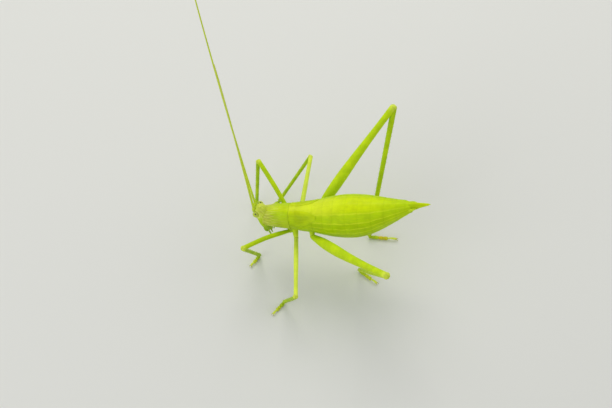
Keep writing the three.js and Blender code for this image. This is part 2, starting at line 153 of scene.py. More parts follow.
def smooth(low, high, value):
    """0 below low, 1 above high, and a smooth step between."""
    t = np.clip((np.asarray(value, float) - low) / (high - low), 0, 1)
    return t * t * (3 - 2 * t)


def hump(centre, width, value):
    """1 at the centre, falling smoothly to nothing a few widths away."""
    return np.exp(-(((np.asarray(value, float) - centre) / width) ** 2))


def profile(table, places, column=1):
    """A smooth value in one column of a table whose rows start with their place."""
    rows = np.asarray(table, float)
    places = np.asarray(places, float)
    last = len(rows) - 1
    at = np.clip(np.searchsorted(rows[:, 0], places, side="right"), 1, last)
    value = rows[:, column]
    start, end = value[at - 1], value[at]
    before, after = value[np.maximum(at - 2, 0)], value[np.minimum(at + 1, last)]
    t = np.clip((places - rows[at - 1, 0]) / (rows[at, 0] - rows[at - 1, 0]), 0, 1)
    bend = 2 * before - 5 * start + 4 * end - after
    twist = 3 * (start - end) + after - before
    return start + 0.5 * t * (end - before + t * (bend + t * twist))


def evenly(values):
    """A profile table of values at equal steps from 0 to 1."""
    return [(i / (len(values) - 1), value) for i, value in enumerate(values)]


def curve_through(points, places):
    """Points of a smooth curve through a few points, at shares of its length."""
    points = np.asarray(points, float)
    table = np.column_stack([np.linspace(0, 1, len(points)), points])
    fine = np.linspace(0, 1, 400)
    dense = np.column_stack([profile(table, fine, axis) for axis in (1, 2, 3)])
    length = np.concatenate([[0], np.cumsum(np.linalg.norm(np.diff(dense, axis=0), axis=1))])
    return np.column_stack([np.interp(places, length / length[-1], dense[:, axis]) for axis in range(3)])


# ---------------------------------------------------------------- surfaces


def section(centre, side, up, wide, top, bottom, angles, power=2.0):
    """Rings of a superellipse. Angles run from the top, 0, towards the side."""
    sine, cosine = np.sin(angles), np.cos(angles)
    across = np.sign(sine) * np.abs(sine) ** (2 / power)
    above = np.sign(cosine) * np.abs(cosine) ** (2 / power)
    wide, top, bottom = (np.atleast_1d(value)[:, None] for value in (wide, top, bottom))
    reach = np.where(above > 0, top, bottom) * above
    side, up = np.atleast_2d(side)[:, None, :], np.atleast_2d(up)[:, None, :]
    return centre[:, None, :] + side * (wide * across)[..., None] + up * reach[..., None]


def normals(grid, closed=True):
    """Outward directions at the points of a grid of rings."""
    along = np.gradient(grid, axis=0)
    if closed:
        around = np.roll(grid, -1, axis=1) - np.roll(grid, 1, axis=1)
    else:
        around = np.gradient(grid, axis=1)
    out = unit(np.cross(around, along))
    away = grid - grid.mean(axis=1, keepdims=True)
    return out if (out * away).sum() > 0 else -out


def swell(grid, out, centre, radius, height):
    """A rounded bump, or a hollow if the height is negative."""
    distance = np.linalg.norm(grid - centre, axis=-1)
    return grid + out * (height * hump(0, radius, distance))[..., None]


def near_line(grid, line):
    """How far each point of a grid is from a chain of points."""
    best = np.full(grid.shape[:-1], 1e9)
    line = np.asarray(line, float)
    for start, end in zip(line, line[1:]):
        run = end - start
        t = np.clip(((grid - start) @ run) / max(run @ run, 1e-12), 0, 1)
        best = np.minimum(best, np.linalg.norm(grid - start - t[..., None] * run, axis=-1))
    return best


def furrow(grid, out, line, width, depth):
    """A groove along a chain of points, or a ridge if the depth is negative."""
    return grid - out * (depth * hump(0, width, near_line(grid, line)))[..., None]


def sides_of(path, hint):
    """Side and up directions along a path, with the side kept near the hint."""
    ahead = unit(np.gradient(path, axis=0))
    side = unit(hint - (ahead @ hint)[:, None] * ahead)
    return side, np.cross(ahead, side)


class Shell:
    """Points, faces and named point values of one piece."""

    def __init__(self):
        self.points, self.faces, self.values, self.count = [], [], {}, 0

    def _store(self, points, values):
        for name in set(self.values) | set(values):
            held = self.values.setdefault(name, [np.zeros(self.count)] if self.count else [])
            given = np.broadcast_to(values.get(name, 0.0), len(points))
            held.append(np.asarray(given, float))
        self.points.append(points)
        self.count += len(points)

    def grid(self, grid, closed=True, caps=(True, True), **values):
        """Adds a grid of rings, or an open sheet, with a value of each name at each point."""
        rows, sides = grid.shape[:2]
        first = self.count
        flat = {name: np.broadcast_to(value, (rows, sides)).ravel() for name, value in values.items()}
        self._store(grid.reshape(-1, 3), flat)
        row, column = np.meshgrid(np.arange(rows - 1), np.arange(sides if closed else sides - 1), indexing="ij")
        after = (column + 1) % sides
        corners = [row * sides + column, row * sides + after, (row + 1) * sides + after, (row + 1) * sides + column]
        self.faces += (np.stack(corners, axis=-1).reshape(-1, 4) + first).tolist()
        for end, wanted in zip((0, rows - 1), caps):
            if closed and wanted:
                ends = {name: value[end * sides : (end + 1) * sides].mean() for name, value in flat.items()}
                ring = first + end * sides
                self.faces += [[ring + i, ring + (i + 1) % sides, self.count] for i in range(sides)]
                self._store(grid[end].mean(axis=0)[None], ends)

    def tube(self, path, radii, hint, sides=16, depth=1.0, power=2.0, sculpt=None, **values):
        """Adds a rod round a path. The radii are spaced evenly, and its ends are domed."""
        length = np.linalg.norm(np.diff(path, axis=0), axis=1).sum()
        places = np.linspace(0, 1, len(path))
        table = evenly(radii)
        radius = profile(table, places)
        ends = np.minimum(places, 1 - places) * length
        dome = np.sqrt(np.clip(1 - (1 - np.clip(ends / np.maximum(0.8 * radius, 1e-9), 0, 1)) ** 2, 0.01, 1))
        radius = radius * dome
        side, up = sides_of(path, np.asarray(hint, float))
        angles = np.linspace(0, 2 * np.pi, sides, endpoint=False)
        grid = section(path, side, up, radius, radius * depth, radius * depth, angles, power)
        if sculpt:
            grid = sculpt(grid, places, angles)
        made = {name: value(places)[:, None] if callable(value) else value for name, value in values.items()}
        self.grid(grid, **made)

    def slab(self, sheet, thickness, **values):
        """Adds an open sheet with a thickness, closed round its rim."""
        out = normals(sheet, closed=False)
        rows, sides = sheet.shape[:2]
        edge_row = np.minimum(np.arange(rows), rows - 1 - np.arange(rows)) > 0
        edge_side = np.minimum(np.arange(sides), sides - 1 - np.arange(sides)) > 0
        inner = sheet - out * (thickness * np.where(edge_row[:, None] & edge_side, 1.0, 0.45))[..., None]
        loop = np.concatenate([sheet, inner[:, ::-1]], axis=1)
        doubled = {}
        for name, value in values.items():
            value = np.broadcast_to(value, (rows, sides))
            doubled[name] = np.concatenate([value, value[:, ::-1]], axis=1)
        self.grid(loop, caps=(False, False), **doubled)
        base = self.count - rows * 2 * sides
        for end in (0, rows - 1):
            start = base + end * 2 * sides
            for i in range(sides - 1):
                self.faces.append([start + i, start + i + 1, start + 2 * sides - 2 - i, start + 2 * sides - 1 - i])

    def build(self, name, material, nodes, slot):
        """Makes the piece, which stands for the nodes and rides on the body."""
        points = (np.concatenate(self.points) + ORIGIN) * MM
        mesh = bpy.data.meshes.new(name)
        mesh.from_pydata(points.tolist(), [], self.faces)
        for value, held in self.values.items():
            layer = mesh.attributes.new(value, "FLOAT", "POINT")
            layer.data.foreach_set("value", np.concatenate(held).astype(np.float32))
        work = bmesh.new()
        work.from_mesh(mesh)
        bmesh.ops.recalc_face_normals(work, faces=work.faces)
        work.to_mesh(mesh)
        work.free()
        mesh.polygons.foreach_set("use_smooth", [True] * len(mesh.polygons))
        piece = bpy.data.objects.new(name, mesh)
        bpy.context.collection.objects.link(piece)
        mesh.materials.append(material)
        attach(piece, "root")
        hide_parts(*nodes)
        return piece


def frame_origin():
    """Where the animal's own origin lies in the row's frame, from the right hind foot."""
    low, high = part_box("hind_tarsus_right")
    _, heel, toe = STANCE["hind_right"]
    middle = (low + high) / (2 * MM)
    return np.array((middle.x - (heel[0] + toe[0]) / 2, middle.y - (heel[1] + toe[1]) / 2, 0.0))


ORIGIN = frame_origin()

# ---------------------------------------------------------------- materials


def linear(red, green, blue):
    """A colour given in 0 to 255 as Blender wants it."""
    channels = (value / 255 for value in (red, green, blue))
    return (*(c / 12.92 if c <= 0.04045 else ((c + 0.055) / 1.055) ** 2.4 for c in channels), 1.0)


LEMON = linear(212, 232, 0)
LIME = linear(184, 216, 0)
MOSS = linear(152, 188, 0)
LEAF = linear(120, 168, 0)
OLIVE = linear(186, 190, 96)
GOLD = linear(226, 240, 50)
CREAM = linear(226, 242, 84)
BONE = linear(234, 240, 118)
ROSE = linear(192, 206, 60)
BEIGE = linear(168, 152, 70)
OCHRE = linear(214, 186, 30)
PINK = linear(226, 160, 104)
DARK = linear(42, 44, 12)


class Paint:
    """One node material of satin insect cuticle, built up colour by colour."""

    def __init__(self, name, roughness=0.46, specular=0.12, glow=0.2, coat=0.0):
        self.material = bpy.data.materials.new(name)
        self.material.use_nodes = True
        self.tree = self.material.node_tree
        self.shader = self.tree.nodes["Principled BSDF"]
        settings = {
            "Roughness": roughness,
            "Specular IOR Level": specular,
            "Subsurface Weight": glow,
            "Subsurface Scale": 0.0006,
            "Coat Weight": coat,
            "Coat Roughness": 0.12,
        }
        for socket, value in settings.items():
            self.shader.inputs[socket].default_value = value
        self.shader.inputs["Subsurface Radius"].default_value = (1.0, 1.0, 0.25)
        self.bumps = None

    def node(self, kind, inputs, output=0, **settings):
        made = self.tree.nodes.new(kind)
        for key, value in settings.items():
            setattr(made, key, value)
        for key, value in inputs.items():
            if isinstance(value, bpy.types.NodeSocket):
                self.tree.links.new(value, made.inputs[key])
            else:
                made.inputs[key].default_value = value
        return made.outputs[output]

    def value(self, name):
        """A named point value of the mesh."""
        return self.node("ShaderNodeAttribute", {}, "Fac", attribute_name=name)

    def math(self, operation, first, second=0.0, clamp=False):
        return self.node("ShaderNodeMath", {0: first, 1: second}, operation=operation, use_clamp=clamp)

    def ramp(self, value, low, high, to_low=0.0, to_high=1.0):
        """The value from low to high turned into another range, by a smooth step."""
        inputs = {0: value, 1: low, 2: high, 3: to_low, 4: to_high}
        return self.node("ShaderNodeMapRange", inputs, interpolation_type="SMOOTHSTEP")

    def line(self, value, centre, width, strength=1.0):
        """A soft line where the value is near its centre."""
        away = self.math("ABSOLUTE", self.math("SUBTRACT", value, centre))
        return self.ramp(away, 0.0, width, strength, 0.0)

    def mix(self, factor, first, second, blend="MIX"):
        inputs = {0: factor, 6: first, 7: second}
        return self.node("ShaderNodeMix", inputs, 2, data_type="RGBA", blend_type=blend)

    def noise(self, scale, detail=3.0, vector=None):
        inputs = {"Scale": scale, "Detail": detail}
        inputs["Vector"] = vector or self.node("ShaderNodeTexCoord", {}, "Object")
        return self.node("ShaderNodeTexNoise", inputs)

    def plane(self, first, second, third=0.0):
        """A texture place made of single values."""
        return self.node("ShaderNodeCombineXYZ", {0: first, 1: second, 2: third})

    def bump(self, height, strength, distance):
        inputs = {"Height": height, "Strength": strength, "Distance": distance * MM}
        if self.bumps:
            inputs["Normal"] = self.bumps
        self.bumps = self.node("ShaderNodeBump", inputs)

    def finish(self, colour, roughness=None):
        """Links the colour, its fine mottling and the grain of the cuticle."""
        mottle = self.ramp(self.noise(900.0, 4.0), 0.35, 0.7, 0.93, 1.05)
        shade = self.node("ShaderNodeCombineColor", {0: mottle, 1: mottle, 2: mottle})
        colour = self.mix(1.0, colour, shade, "MULTIPLY")
        self.tree.links.new(colour, self.shader.inputs["Base Color"])
        grain = self.node("ShaderNodeTexVoronoi", {"Scale": 9000.0}, "Distance")
        self.bump(grain, 0.12, 0.02)
        self.bump(self.noise(2500.0, 2.0), 0.15, 0.03)
        self.tree.links.new(self.bumps, self.shader.inputs["Normal"])
        gloss = self.ramp(roughness or self.noise(1500.0, 2.0), 0.3, 0.7, 0.42, 0.6)
        self.tree.links.new(gloss, self.shader.inputs["Roughness"])
        return self.material


def streaks(paint, fine, coarse):
    """Fine streaks that run along the body."""
    spread = paint.math("MULTIPLY", paint.value("around"), fine)
    stretch = paint.math("MULTIPLY", paint.value("along"), coarse)
    return paint.noise(1.0, 4.0, paint.plane(stretch, spread))


# Pale stripes of the trunk: degrees round from the midline, half width, strength.
STRIPES = [(1.0, 2.6, 0.3), (28.5, 3.2, 0.65), (56.0, 3.2, 0.75), (74.0, 2.8, 0.7), (89.0, 3.0, 0.6)]


def trunk_paint():
    paint = Paint("trunk_cuticle")
    around, along = paint.value("around"), paint.value("along")
    wander = paint.ramp(paint.noise(1.0, 2.0, paint.plane(along, 0.0)), 0.3, 0.7, -1.0, 1.0)
    traced = paint.math("ADD", around, wander)
    # Lemon along the back, lime and then moss green down the sides: partly the nymph's own colour, partly painted light
    # on the back and painted shade on the lower sides.
    colour = paint.mix(paint.ramp(traced, 14.0, 36.0), LEMON, LIME)
    colour = paint.mix(paint.ramp(traced, 50.0, 66.0, 0.0, 0.4), colour, MOSS)
    colour = paint.mix(paint.ramp(around, 105.0, 140.0, 0.0, 0.6), colour, CREAM)
    colour = paint.mix(paint.ramp(along, 9.0, 15.6, 0.0, 0.9), colour, LIME)
    sunlit = paint.math("MULTIPLY", paint.ramp(along, 8.0, 3.0, 0.0, 0.75), paint.ramp(around, 42.0, 18.0))
    colour = paint.mix(sunlit, colour, GOLD)
    chest = paint.ramp(along, 2.5, -1.0, 0.0, 0.15)
    colour = paint.mix(chest, colour, ROSE)
    flank = paint.math("MULTIPLY", paint.ramp(along, 4.5, 1.0, 0.0, 0.45), paint.ramp(around, 52.0, 72.0))
    colour = paint.mix(flank, colour, MOSS)
    fade = paint.ramp(along, 0.5, 3.5, 0.15, 1.0)
    broken = paint.ramp(streaks(paint, 0.1, 1.6), 0.32, 0.6, 0.45, 1.0)
    for angle, width, strength in STRIPES:
        stripe = paint.math("MULTIPLY", paint.line(traced, angle, width, strength), fade)
        stripe = paint.math("MULTIPLY", stripe, broken)
        colour = paint.mix(stripe, colour, GOLD)
    fine = paint.ramp(streaks(paint, 0.55, 0.5), 0.4, 0.62, 0.0, 0.3)
    colour = paint.mix(fine, colour, LEMON)
    deep = paint.ramp(streaks(paint, 0.8, 0.35), 0.52, 0.7, 0.0, 0.25)
    colour = paint.mix(deep, colour, MOSS)
    # Moss green in the folds at the edges of each segment: painted shade in the creases.
    fold = paint.value("fold")
    colour = paint.mix(paint.math("MULTIPLY", fold, 0.12), colour, MOSS)
    colour = paint.mix(paint.math("MULTIPLY", paint.value("spiracle"), 0.6), colour, BEIGE)
    paint.bump(streaks(paint, 0.55, 0.5), 0.25, 0.03)
    return paint.finish(colour)


def pronotum_paint():
    paint = Paint("pronotum_cuticle", roughness=0.5)
    around, along = paint.value("around"), paint.value("along")
    colour = paint.mix(paint.ramp(along, -4.6, -3.0), ROSE, LIME)
    side = paint.ramp(around, 45.0, 70.0, 0.0, 0.3)
    colour = paint.mix(side, colour, ROSE)
    # Lemon along the saddle's top: partly its own colour, partly painted light on the upper face.
    top = paint.ramp(around, 25.0, 6.0, 0.0, 0.6)
    colour = paint.mix(top, colour, LEMON)
    front = paint.ramp(along, -1.6, -4.3, 0.08, 0.95)
    pale = paint.math("MULTIPLY", paint.ramp(streaks(paint, 0.42, 0.8), 0.5, 0.6), front)
    colour = paint.mix(pale, colour, BONE)
    low = paint.math("ADD", front, paint.math("MULTIPLY", side, 0.8), clamp=True)
    brown = paint.math("MULTIPLY", paint.ramp(streaks(paint, 0.36, 0.7), 0.47, 0.36), low)
    colour = paint.mix(paint.math("MULTIPLY", brown, 0.9), colour, BEIGE)
    colour = paint.mix(paint.math("MULTIPLY", paint.value("rim"), 0.45), colour, CREAM)
    paint.bump(streaks(paint, 0.5, 0.8), 0.3, 0.04)
    return paint.finish(colour)


def head_paint():
    paint = Paint("head_cuticle", roughness=0.4)
    down = paint.value("down")
    colour = paint.mix(paint.ramp(down, 0.15, 0.5), CREAM, LIME)
    # Leaf green towards the chin: painted shade on the lower face.
    colour = paint.mix(paint.ramp(down, 0.5, 0.95, 0.0, 0.8), colour, LEAF)
    crown = paint.value("crown")
    colour = paint.mix(paint.math("MULTIPLY", crown, 0.7), colour, ROSE)
    lines = paint.noise(1.0, 4.0, paint.plane(paint.math("MULTIPLY", down, 3.0), paint.math("MULTIPLY", paint.value("out"), 8.0)))
    pale = paint.math("MULTIPLY", paint.ramp(lines, 0.5, 0.64), crown)
    colour = paint.mix(paint.math("MULTIPLY", pale, 0.75), colour, BONE)
    brown = paint.math("MULTIPLY", paint.ramp(lines, 0.46, 0.34), crown)
    colour = paint.mix(paint.math("MULTIPLY", brown, 0.45), colour, BEIGE)
    colour = paint.mix(paint.math("MULTIPLY", paint.value("socket"), 0.8), colour, BONE)
    # Moss green along the creases: painted shade in the furrows.
    colour = paint.mix(paint.math("MULTIPLY", paint.value("crease"), 0.5), colour, MOSS)
    colour = paint.mix(paint.ramp(paint.noise(700.0, 3.0), 0.5, 0.68, 0.0, 0.35), colour, CREAM)
    return paint.finish(colour)


def limb_paint():
    paint = Paint("leg_cuticle", roughness=0.4)
    # The shade value darkens lime to leaf green: on the shins, the front thighs and the mouthparts this is painted
    # shade.
    colour = paint.mix(paint.value("shade"), LIME, LEAF)
    grain = paint.noise(700.0, 4.0)
    colour = paint.mix(paint.ramp(grain, 0.4, 0.65, 0.1, 0.4), colour, LEMON)
    # The pale value: on the middle thighs and the knees it is partly painted highlight.
    colour = paint.mix(paint.value("pale"), colour, CREAM)
    colour = paint.mix(paint.math("MULTIPLY", paint.value("groove"), 0.6), colour, MOSS)
    patchy = paint.ramp(paint.noise(1800.0, 3.0), 0.36, 0.58, 0.55, 1.0)
    colour = paint.mix(paint.math("MULTIPLY", paint.value("rust"), patchy), colour, OCHRE)
    colour = paint.mix(paint.value("pink"), colour, PINK)
    return paint.finish(colour)


def antenna_paint():
    paint = Paint("antenna_cuticle", roughness=0.5)
    colour = paint.mix(paint.ramp(paint.value("along"), 4.0, 50.0, 0.15, 0.55), LIME, BEIGE)
    colour = paint.mix(0.4, colour, CREAM)
    colour = paint.mix(paint.math("MULTIPLY", paint.value("joint"), 0.35), colour, MOSS)
    return paint.finish(colour)


def eye_paint():
    paint = Paint("eye_lens", roughness=0.22, specular=0.4, glow=0.14, coat=0.45)
    facets = paint.node("ShaderNodeTexVoronoi", {"Scale": 26000.0}, "Distance")
    colour = paint.mix(paint.ramp(paint.value("gaze"), 0.2, 0.9), LEMON, ROSE)
    bands = paint.ramp(paint.noise(2600.0, 2.0), 0.42, 0.6, 0.0, 0.35)
    colour = paint.mix(bands, colour, LIME)
    colour = paint.mix(paint.ramp(paint.value("pupil"), 0.35, 0.8, 0.0, 0.85), colour, DARK)
    paint.bump(facets, 0.35, 0.012)
    return paint.finish(colour)


def pad_paint():
    paint = Paint("wing_pad_cuticle", roughness=0.42)
    around = paint.value("around")
    # Lemon along the top of the pads, lime and moss green down their sides: partly their own colour, partly painted
    # light above and painted shade below, as on the trunk.
    colour = paint.mix(paint.ramp(around, 8.0, 42.0), LEMON, LIME)
    colour = paint.mix(paint.ramp(around, 50.0, 100.0, 0.0, 0.5), colour, MOSS)
    colour = paint.mix(paint.math("MULTIPLY", paint.value("vein"), 0.22), colour, GOLD)
    colour = paint.mix(paint.math("MULTIPLY", paint.value("rim"), 0.12), colour, CREAM)
    fine = paint.ramp(paint.noise(1400.0, 4.0), 0.4, 0.65, 0.0, 0.25)
    colour = paint.mix(fine, colour, LEMON)
    return paint.finish(colour)


def tip_paint(name, colour, other):
    """Plain horny pieces such as claws, spines and hairs."""
    paint = Paint(name, roughness=0.35, glow=0.05)
    return paint.finish(paint.mix(paint.ramp(paint.value("tip"), 0.45, 1.0), colour, other))


def blade_paint():
    paint = Paint("ovipositor_cuticle", roughness=0.42, glow=0.26)
    colour = paint.mix(paint.ramp(paint.value("along"), -0.2, 1.4, 0.25, 0.75), LIME, LEMON)
    colour = paint.mix(paint.math("MULTIPLY", paint.value("edge"), 0.4), colour, GOLD)
    # Moss green in the split between the valves: painted shade.
    colour = paint.mix(paint.math("MULTIPLY", paint.value("crease"), 0.35), colour, MOSS)
    return paint.finish(colour)


# ---------------------------------------------------------------- trunk

ALONG = np.array((math.cos(BODY_TILT), 0.0, math.sin(BODY_TILT)))
UP = np.array((-math.sin(BODY_TILT), 0.0, math.cos(BODY_TILT)))
ACROSS = np.array((0.0, 1.0, 0.0))
AXIS = np.array((0.0, 0.0, THORAX_HEIGHT))


def on_body(along, across, up):
    """Points given along, across and above the body's axis."""
    along, across, up = (np.asarray(value, float)[..., None] for value in (along, across, up))
    return AXIS + along * ALONG + across * ACROSS + up * UP


def trunk_rings(places, angles, offset=0.0):
    """Rings of the trunk, moved out by an offset that may differ at each point."""
    top, bottom = profile(TRUNK, places, 2), profile(TRUNK, places, 3)
    centre = on_body(places, 0 * places, (top - bottom) / 2)
    half = (top + bottom) / 2
    grid = section(centre, ACROSS, UP, profile(TRUNK, places), half, half, angles, TRUNK_POWER)
    return grid + normals(grid, closed=np.ndim(angles) == 1) * np.broadcast_to(offset, grid.shape[:2])[..., None]


def segment_share(places):
    """How far each place lies through its own abdominal segment, from 0 to 1."""
    edges = np.array((ABDOMEN_FRONT - 1.2, *TERGITES, ABDOMEN_END + 0.9))
    at = np.clip(np.searchsorted(edges, places, side="right"), 1, len(edges) - 1)
    return (places - edges[at - 1]) / (edges[at] - edges[at - 1]), at


def trunk():
    """Neck, thorax and abdomen as one skin, with overlapping rings on the abdomen."""
    edges = np.concatenate([[edge - 0.015, edge + 0.015] for edge in TERGITES])
    places = np.unique(np.concatenate([np.linspace(-5.25, ABDOMEN_END - 0.02, 270), edges]))
    angles = np.linspace(0, 2 * np.pi, 144, endpoint=False)
    around = np.degrees(np.minimum(angles, 2 * np.pi - angles))
    share, number = segment_share(places)
    abdomen = smooth(ABDOMEN_FRONT - 0.2, ABDOMEN_FRONT, places)
    back = 1 - smooth(98, 108, around)
    sunk = (0.022 * (1 - smooth(0.0, 0.35, share)) * abdomen)[:, None] * (0.35 + 0.65 * back)
    seam = 0.06 * smooth(0.5, 3.0, places)[:, None] * hump(108, 4.5, around)
    keel = 0.05 * smooth(0.5, 3.0, places)[:, None] * hump(150, 8, around)
    hidden = 0.24 * (1 - smooth(PRONOTUM_REAR - 0.6, PRONOTUM_REAR - 0.2, places))
    tucked = 0.05 * (1 - smooth(PRONOTUM_REAR - 0.05, PRONOTUM_REAR + 0.12, places))
    core = (hidden + tucked)[:, None] * (1 - 0.35 * smooth(95, 150, around))
    roof = 0.07 * abdomen[:, None] * np.clip(1 - around / 26, 0, 1) - 0.03 * hump(0, 45, around)
    grid = trunk_rings(places, angles, roof - INSET - sunk - seam - keel - core)
    out = normals(grid)
    for side in SIDES.values():
        for start, end in (((-0.95, 92), (0.1, 128)), ((0.55, 88), (1.0, 132)), ((1.0, 96), (2.1, 126))):
            line = trunk_points([start, end], side)
            grid = furrow(grid, out, line, 0.09, 0.07)
        for index, edge in enumerate(TERGITES[:-2]):
            spot = trunk_points([((edge + TERGITES[index + 1]) / 2 - 0.3, 113)], side)[0]
            grid = swell(grid, out, spot, 0.1, -0.05)
    spiracle = sum(hump(edge + 0.5, 0.12, places)[:, None] * hump(113, 2.0, around) for edge in TERGITES[:-2])
    fold = (np.maximum(hump(0.0, 0.06, share), 0.5 * hump(1.0, 0.08, share)) * abdomen)[:, None] * np.ones_like(around)
    skin = Shell()
    skin.grid(grid, along=places[:, None], around=around, fold=fold, spiracle=spiracle)
    nodes = ["prothorax", "mesothorax", "metathorax", "abdomen_front", "abdomen_middle", "abdomen_rear"]
    skin.build("trunk_skin", trunk_paint(), nodes, "green_cuticle")


def trunk_points(spots, side):
    """Points on the trunk's side, given as (place, degrees from the midline)."""
    places = np.array([spot[0] for spot in spots], float)
    angles = side * np.radians([spot[1] for spot in spots])
    rings = trunk_rings(places if len(places) > 1 else np.repeat(places, 2), np.concatenate([angles, angles]))
    return np.array([rings[i, i] for i in range(len(spots))])


LOBE_FRONT, LOBE_REAR = 0.7, 1.75  # the saddle's lower edge, below the axis


def pronotum():
    """The saddle over the prothorax, thin, with a rim all round."""
    places = np.linspace(PRONOTUM_FRONT, PRONOTUM_REAR, 70)
    spread = np.linspace(-1, 1, 150)
    share = (places - PRONOTUM_FRONT) / (PRONOTUM_REAR - PRONOTUM_FRONT)
    bottom = profile(TRUNK, places, 3)
    top = profile(TRUNK, places, 2)
    lobe = LOBE_FRONT + (LOBE_REAR - LOBE_FRONT) * share
    lobe = lobe - 0.28 * (hump(0.0, 0.16, share) + hump(1.0, 0.13, share))
    drop = np.clip((lobe + (top - bottom) / 2) / ((top + bottom) / 2), -0.98, 0.98)
    limit = np.arccos(-(drop ** (TRUNK_POWER / 2)))
    angles = limit[:, None] * spread
    around = np.degrees(np.abs(angles))
    half = (top + bottom) / 2
    height = (top - bottom) / 2
    rear = 0.16 * smooth(0.7, 1.0, share)[:, None] * (np.abs(spread) ** 2)
    shift = np.tan(BODY_TILT) * half[:, None] * (np.cos(angles) * 0.98) * (1 - smooth(0.0, 0.55, share))[:, None]
    along = places[:, None] + shift - rear
    behind = smooth(0.8, 0.95, share)[:, None]
    rim = np.maximum.reduce(
        [hump(0, 0.035, share)[:, None] + 0 * spread, hump(1, 0.03, share)[:, None] + 0 * spread, hump(1, 0.035, np.abs(spread)) + 0 * share[:, None]]
    )
    grid = section(on_body(places, 0 * places, height), ACROSS, UP, profile(TRUNK, places), half, half, angles, TRUNK_POWER)
    grid = grid + (along - places[:, None])[..., None] * ALONG
    out = normals(grid, closed=False)
    dip = 0.05 * hump(0.62, 0.05, share)[:, None] * hump(0, 55, around) + 0.03 * hump(0.3, 0.05, share)[:, None] * hump(38, 16, around)
    grid = grid + out * (0.03 * rim * (1 - behind) - INSET - dip)[..., None]
    skin = Shell()
    skin.slab(grid, 0.16, along=along, around=around, rim=rim * (1 - 0.8 * behind))
    skin.build("pronotum_plate", pronotum_paint(), ["pronotum"], "pronotum_cuticle")


PAD_ANGLES = [(0.0, 10, 78), (0.35, 13, 74), (0.7, 20, 60), (1.0, 33, 44)]
PAD_FROM, PAD_TO = -0.96, 2.88


def wing_pad(name, side):
    """Two overlapping leaf-shaped pads with raised veins, the fore pad under the hind pad."""
    skin = Shell()
    for start, end, widen, lift in ((PAD_FROM, PAD_TO - 1.1, -2.0, -0.02), (PAD_FROM + 0.75, PAD_TO, 0.0, 0.0)):
        share = np.linspace(0, 1, 60)
        places = start + (end - start) * share
        inner = profile(PAD_ANGLES, share) - widen
        outer = profile(PAD_ANGLES, share, 2) + widen
        spread = np.linspace(0, 1, 40)
        degrees = inner[:, None] + (outer - inner)[:, None] * spread
        angles = side * np.radians(degrees)
        ribs = np.maximum.reduce([hump(at, 0.028, spread) for at in (0.12, 0.3, 0.48, 0.66, 0.84)])
        cells = 0.5 * hump(0, 0.16, ((share * 14) % 1) - 0.5)[:, None] * np.ones_like(spread)
        vein = np.maximum(np.broadcast_to(ribs, cells.shape), cells * 0.6)
        rim = np.maximum(hump(0, 0.04, spread), hump(1, 0.05, spread)) + 0 * share[:, None]
        raised = lift + 0.01 * vein + 0.012 * rim + 0.015 * smooth(0.0, 0.6, share)[:, None]
        grid = trunk_rings(places, angles, raised)
        skin.slab(grid, 0.12, around=degrees, vein=vein, rim=rim)
    skin.build(f"wing_pad_skin_{name}", pad_paint(), [f"wing_pad_{name}"], "wing_pad_cuticle")


# Ovipositor blade: share of its length, half width, half depth and height over the axis.
BLADE = [
    (0.0, 0.57, 0.88, 2.08),
    (0.15, 0.46, 0.84, 2.2),
    (0.4, 0.31, 0.66, 2.38),
    (0.6, 0.26, 0.44, 2.5),
    (0.85, 0.18, 0.22, 2.6),
    (1.0, 0.1, 0.1, 2.64),
]


def ovipositor():
    """Short blade of an upper and a lower pair of valves, finely toothed near the tip."""
    skin = Shell()
    share = np.linspace(0, 1, 90)
    places = ABDOMEN_END - 0.35 + (OVIPOSITOR_TIP - ABDOMEN_END + 0.33) * share
    wide, deep, height = (profile(BLADE, share, column) for column in (1, 2, 3))
    angles = np.linspace(0, 2 * np.pi, 64, endpoint=False)
    teeth = 0.03 * smooth(0.55, 0.8, share) * (1 - smooth(0.95, 1.0, share)) * np.abs(np.sin(share * 95))
    close = 1 - 0.75 * smooth(0.9, 1.0, share)
    grid = section(on_body(places, 0 * places, height), ACROSS, UP, (wide - INSET) * close, (deep - INSET + teeth) * close, (deep - INSET + teeth) * close, angles, 1.8)
    around = np.degrees(np.minimum(angles, 2 * np.pi - angles))
    split = hump(96, 5, around) * smooth(0.0, 0.1, share)[:, None]
    upper = 0.03 * (1 - smooth(90, 97, around)) * smooth(0.02, 0.12, share)[:, None]
    grid = grid + normals(grid) * (upper - 0.07 * split)[..., None]
    edge = np.maximum(hump(180, 26, around), 0.4 * hump(0, 18, around)) + 0 * share[:, None]
    skin.grid(grid, along=(places - ABDOMEN_END)[:, None], edge=edge, crease=split)
    skin.build("ovipositor_valves", blade_paint(), ["ovipositor"], "leaf_green_cuticle")


CERCUS = [(15.6, 0.6, 2.18), (16.25, 0.58, 2.31), (16.75, 0.48, 2.42)]


def cercus(name, side, material):
    """One small tail feeler, curving in to its point."""
    points = [on_body(along, side * out, up) for along, out, up in CERCUS]
    skin = Shell()
    skin.tube(curve_through(points, np.linspace(0, 1, 30)), (0.2, 0.19, 0.15, 0.07), UP, sides=24, shade=0.0, pale=0.25)
    skin.build(f"cercus_skin_{name}", material, [f"cercus_{name}"], "leaf_green_cuticle")


# ---------------------------------------------------------------- head

HEAD_ACROSS = np.array((math.sin(HEAD_TURN), math.cos(HEAD_TURN), 0.0))
HEAD_BACK = np.array((math.cos(HEAD_TURN), -math.sin(HEAD_TURN), 0.0))
HEAD_AXIS = HEAD_BACK * HEAD_SLANT - np.array((0.0, 0.0, HEAD_HEIGHT))
HEAD_DOWN = unit(HEAD_AXIS)
HEAD_FRONT = unit(np.cross(HEAD_ACROSS, HEAD_DOWN))
HEAD_LENGTH = float(np.linalg.norm(HEAD_AXIS))


def on_head(share, out, front):
    """Points given down the head's axis, out to its side and to its front."""
    share, out, front = (np.asarray(value, float)[..., None] for value in (share, out, front))
    return HEAD_TOP + share * HEAD_AXIS + out * HEAD_ACROSS + front * HEAD_FRONT


